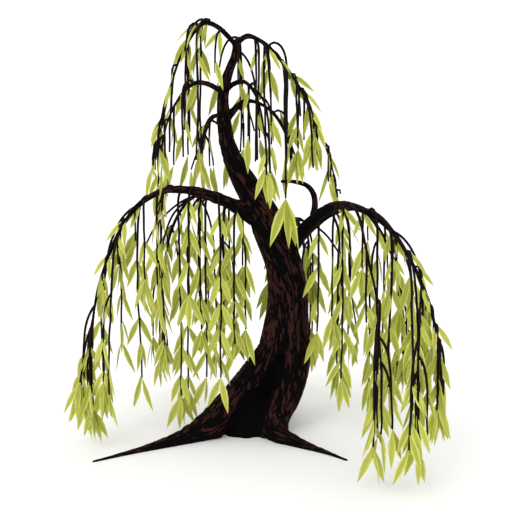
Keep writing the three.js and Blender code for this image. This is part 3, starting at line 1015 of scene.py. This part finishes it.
def grow_shoot(foliage, envelope, b, start, heading, lift, reach, shortest, rng):
    """A hanging shoot with its leaves, at times with a fork."""
    found = hanging_path(envelope, start, heading, lift, reach, rng)
    short = shortest * rng.random() ** SHORTNESS
    if found is None:
        return
    path, arch, span = found
    bare = max(arch + rng.uniform(*b.bare), BARE_LEAST)
    low = max(span[0] + TIP_ROOM, CLEARANCE + LEAF_LENGTH[1])
    path = cut_at(path, lerp(low, start[2], short))
    path = add_shoot(foliage, path, SHOOT_RADII[0], bare, b.leafy, rng)
    if path is None or rng.random() > FORK_SHARE or arc_lengths(path)[-1] < FORK_LEAST:
        return
    at = int(len(path) * rng.uniform(*FORK_PLACE))
    away = heading + rng.uniform(*FORK_TURN)
    lift = math.radians(rng.uniform(*FORK_LIFT))
    branch = shoot_path(path[at], away, lift, rng.uniform(*FORK_ARCH), rng)
    branch = cut_at(branch, lerp(low, path[at][2], rng.uniform(*FORK_SHORTER)))
    add_shoot(foliage, branch, SHOOT_RADII[0] * FORK_WIDTH, FORK_BARE, b.leafy, rng)


def outs_of(limb, b):
    """How far out from its root each sample of a bough lies, in plan."""
    return np.hypot(*(limb.path[:, :2] - np.array(b.root[:2])).T)


def grow_bough(foliage, b, limb, rng):
    """Shoots along one bough, which arch out to places of their own, then at its end and on its fall."""
    envelope = Envelope(b)

    def grow(index, heading, lift, reach, shortest):
        lift = math.radians(lift)
        grow_shoot(foliage, envelope, b, limb.path[index], heading, lift, reach, shortest, rng)

    outs = outs_of(limb, b)
    phase = rng.random()
    for k, place in enumerate(np.arange(envelope.first + b.gap, envelope.last, b.gap)):
        place += rng.uniform(-SCATTER, SCATTER) * b.gap
        share = 2 * ((k * GOLDEN + phase) % 1) - 1
        aside = share * envelope.half_width(b, place, math.copysign(1, share))
        slant = math.radians(rng.uniform(*SLANT))
        leaves_at = np.clip(place - abs(aside) / math.tan(slant), envelope.first / 2, outs[-1])
        index = np.abs(outs - leaves_at).argmin()
        reach = math.hypot(place - leaves_at, aside)
        heading = b.bearing + math.atan2(aside, place - leaves_at)
        slope = math.degrees(math.asin(limb.tangents[index][2]))
        lift = np.clip(slope + rng.uniform(*ARCHING), *ARCHED)
        if reach < NEAR:
            looped = slope > STEEP and rng.random() < LOOP_SHARE
            lift = rng.uniform(*(LOOPED if looped else DROPPED))
            reach = rng.uniform(*(LOOP_REACH if looped else DROP_REACH))
            heading = b.bearing + rng.uniform(-NEAR_TURN, NEAR_TURN)
        grow(index, heading, lift, reach, SHORTEST)

    slopes = np.degrees(np.arcsin(limb.tangents[:, 2]))
    for back, turn, lift, least_leafy in ENDS:
        if b.leafy[0] < least_leafy:
            break
        index = len(slopes) - 1 - int(back / LIMB_STEP)
        reach = rng.uniform(*END_REACH) + END_SPREAD * back
        grow(index, b.bearing + turn, slopes[index] + lift, reach, END_SHORTEST)

    falling = (slopes > FALLING[0]) & (slopes < FALLING[1]) & (b.radii[1] > MARGIN_RADIUS)
    for index in np.nonzero(falling)[0][:: int(MARGIN_GAP / LIMB_STEP)]:
        heading = b.bearing + rng.uniform(-MARGIN_TURN, MARGIN_TURN)
        lift = math.radians(slopes[index] + rng.uniform(*MARGIN_LIFT))
        path = shoot_path(limb.path[index], heading, lift, rng.uniform(*MARGIN_ARCH), rng)
        count = 2 + int(rng.uniform(*MARGIN_LENGTH) / SHOOT_STEP)
        add_shoot(foliage, path[:count], SHOOT_RADII[1], 0, (b.leafy[0],) * 2, rng)


# One leaf: shares of its length, half widths as shares of the widest, and places across.
LEAF_STATIONS = [(0.14, 0.38), (0.38, 0.94), (0.61, 0.87), (0.84, 0.40)]
LEAF_ACROSS = [-1.0, -0.55, 0.0, 0.55, 1.0]
LEAF_FOLD = 0.3  # how far the margins stand up, as a share of the half width
LEAF_DROOP = 0.22  # how far the tip hangs, as a share of the length


def leaf_faces():
    """Faces of one leaf as triangles and quads, and whether each lies in a margin."""
    count, rings = len(LEAF_ACROSS), len(LEAF_STATIONS)
    tip, foot, last = rings * count, rings * count + 1, (rings - 1) * count
    tris, quads = [], []
    for k in range(count - 1):
        tris += [(foot, k + 1, k), (tip, last + k, last + k + 1)]
        quads += [(a, a + 1, a + count + 1, a + count) for a in range(k, last, count)]
    margin = np.array([k in (0, count - 2) for k in range(count - 1)])
    return np.array(tris), np.array(quads), np.repeat(margin, 2), np.repeat(margin, rings - 1)


def make_leaves(name, foliage, materials, rng):
    """All the leaves of a region as one mesh, each spray in its own pair of greens."""
    rows = np.array(foliage.leaves)
    at, way, facing = rows[:, 0:3], rows[:, 3:6], rows[:, 6:9]
    length, spray = rows[:, 9], rows[:, 10].astype(int)
    aside = np.cross(way, facing)
    blade = [(t, w * x, x) for t, w in LEAF_STATIONS for x in LEAF_ACROSS] + [(1, 0, 0), (0, 0, 0)]
    along, widths, across = np.array(blade).T
    half = widths * LEAF_SLIMNESS / 2
    reach = length[:, None] * along
    sideways = length[:, None] * half
    droop = length[:, None] * LEAF_DROOP * along**2 * (1 + way[:, 2:3])
    points = (
        at[:, None]
        + way[:, None] * reach[..., None]
        + aside[:, None] * sideways[..., None]
        + facing[:, None] * (np.abs(sideways) * LEAF_FOLD)[..., None]
        - np.array([0, 0, 1.0]) * droop[..., None]
    )
    tris, quads, tri_margin, quad_margin = leaf_faces()
    start = (np.arange(len(rows)) * len(along))[:, None, None]
    shapes = Shapes()
    shapes.add(points.reshape(-1, 3), (tris + start).reshape(-1, 3), (quads + start).reshape(-1, 4))
    centres = rng.integers(0, len(CENTRE_GREENS), foliage.sprays + 1)[spray][:, None]
    margins = rng.integers(0, len(MARGIN_GREENS), foliage.sprays + 1)[spray][:, None]
    margins += len(CENTRE_GREENS)
    face_materials = [np.where(edge, margins, centres).ravel() for edge in (tri_margin, quad_margin)]
    obj = make_object(name, shapes, materials, np.concatenate(face_materials))
    uvs = obj.data.uv_layers.new(name="blade")
    place = np.column_stack([across * LEAF_SLIMNESS / 2, along])
    corners = np.concatenate([f.ravel() for f in shapes.faces]) % len(along)
    uvs.data.foreach_set("uv", place[corners].astype(np.float32).ravel())
    return obj


# ---- Scene ----
def make_camera():
    data = bpy.data.cameras.new("camera")
    data.lens, data.sensor_width = LENS, SENSOR
    camera = put_in_scene("camera", data)
    camera.location = EYE
    camera.rotation_euler = (AIM - EYE).to_track_quat("-Z", "Y").to_euler()
    bpy.context.scene.camera = camera


def make_stage():
    """A pale floor under an even white sky, with one soft lamp from the upper left."""
    floor_shapes = Shapes()
    x, y = (FLOOR_RADIUS * c for c in circle(FLOOR_SIDES))
    floor_shapes.add(np.column_stack([x, y, 0 * x + FLOOR_HEIGHT]), np.arange(FLOOR_SIDES)[None, :])
    pale = Surface("floor", Base_Color=(0.9, 0.9, 0.9, 1), Roughness=0.9)
    floor = make_object("floor", floor_shapes, [pale.material], smooth=False)
    world = bpy.data.worlds.new("sky")
    world.use_nodes = True
    sky = {"Color": (1, 1, 1, 1), "Strength": SKY_STRENGTH}
    set_inputs(world.node_tree.nodes["Background"], sky)
    bpy.context.scene.world = world
    sun = bpy.data.lights.new("sun", "SUN")
    sun.energy, sun.angle = SUN_ENERGY, SUN_ANGLE
    lamp = put_in_scene("sun", sun)
    lamp.rotation_euler = SUN_WAY.to_track_quat("-Z", "Y").to_euler()
    bpy.context.scene.view_settings.view_transform = "Standard"


make_camera()
make_stage()

bark = bark_material()
shoot_bark = shoot_material()
greens = [leaf_material(f"leaf_centre_{i}", c) for i, c in enumerate(CENTRE_GREENS)]
greens += [leaf_material(f"leaf_margin_{i}", c) for i, c in enumerate(MARGIN_GREENS)]

trunk_limbs = [Limb(smooth_path(stations)) for stations in (STEM, *LEGS.values())]
bough_limbs = {name: bough_limb(b, row) for row, (name, b) in enumerate(BOUGHS.items())}
curl = Limb(smooth_path(CURL))

LOW_CORNER, HIGH_CORNER = np.array(CAD_BOX)
PROUD = BOX_SHARE * (HIGH_CORNER - LOW_CORNER) + BOX_MARGIN
LEAF_BOX = [LOW_CORNER - PROUD, HIGH_CORNER + PROUD]


def wood_ratio(points):
    """How far points lie from the nearest of the trunk and its legs, in radii."""
    return np.array([limb.bark_coordinates(points)[0] for limb in trunk_limbs]).min(0)


fused = [(limb, len(limb.path)) for limb in trunk_limbs]
fused += [(limb, fused_end(limb)) for limb in bough_limbs.values()]
trunk_piece = fused_wood(fused, bark)
swept = [
    (limb, row, fused_end(limb) - int(OVERLAP / LIMB_STEP))
    for row, limb in enumerate(bough_limbs.values(), len(trunk_limbs))
]
swept.append((curl, len(trunk_limbs) + len(swept), 0))
boughs_piece = swept_wood(swept, bark)
wood_nodes = [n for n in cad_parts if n.startswith("bough_")]
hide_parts("trunk")
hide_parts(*wood_nodes)
for piece in (trunk_piece, boughs_piece):
    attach(piece, "root")

regions = {}
for index, (name, b) in enumerate(BOUGHS.items()):
    foliage = regions.setdefault(b.region, Foliage())
    grow_bough(foliage, b, bough_limbs[name], np.random.default_rng([SEED, index]))
rng = np.random.default_rng([SEED, TRAILER_SEED])
for name, out, turn, reach, foot, bare, scale in TRAILERS:
    b, limb = BOUGHS[name], bough_limbs[name]
    foliage = regions[b.region]
    start = limb.path[np.abs(outs_of(limb, b) - out).argmin()]
    arch = reach / reach_of(TRAILER_LIFT)
    path = cut_at(shoot_path(start, b.bearing + turn, TRAILER_LIFT, arch, rng), foot)
    add_shoot(foliage, path, SHOOT_RADII[0], bare, TRAILER_LEAFY, rng, scale)
for index, (region, foliage) in enumerate(regions.items()):
    shoots_piece = make_object(f"shoots_{region}", foliage.shoots, [shoot_bark])
    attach(shoots_piece, "root")
    rng = np.random.default_rng([SEED, LEAF_SEED + index])
    leaves_piece = make_leaves(f"leaves_{region}", foliage, greens, rng)
    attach(leaves_piece, "root")
    curtains = [c for b in BOUGHS.values() if b.region == region for c in b.curtains]
    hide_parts(*[f"foliage_{c}" for c in curtains])
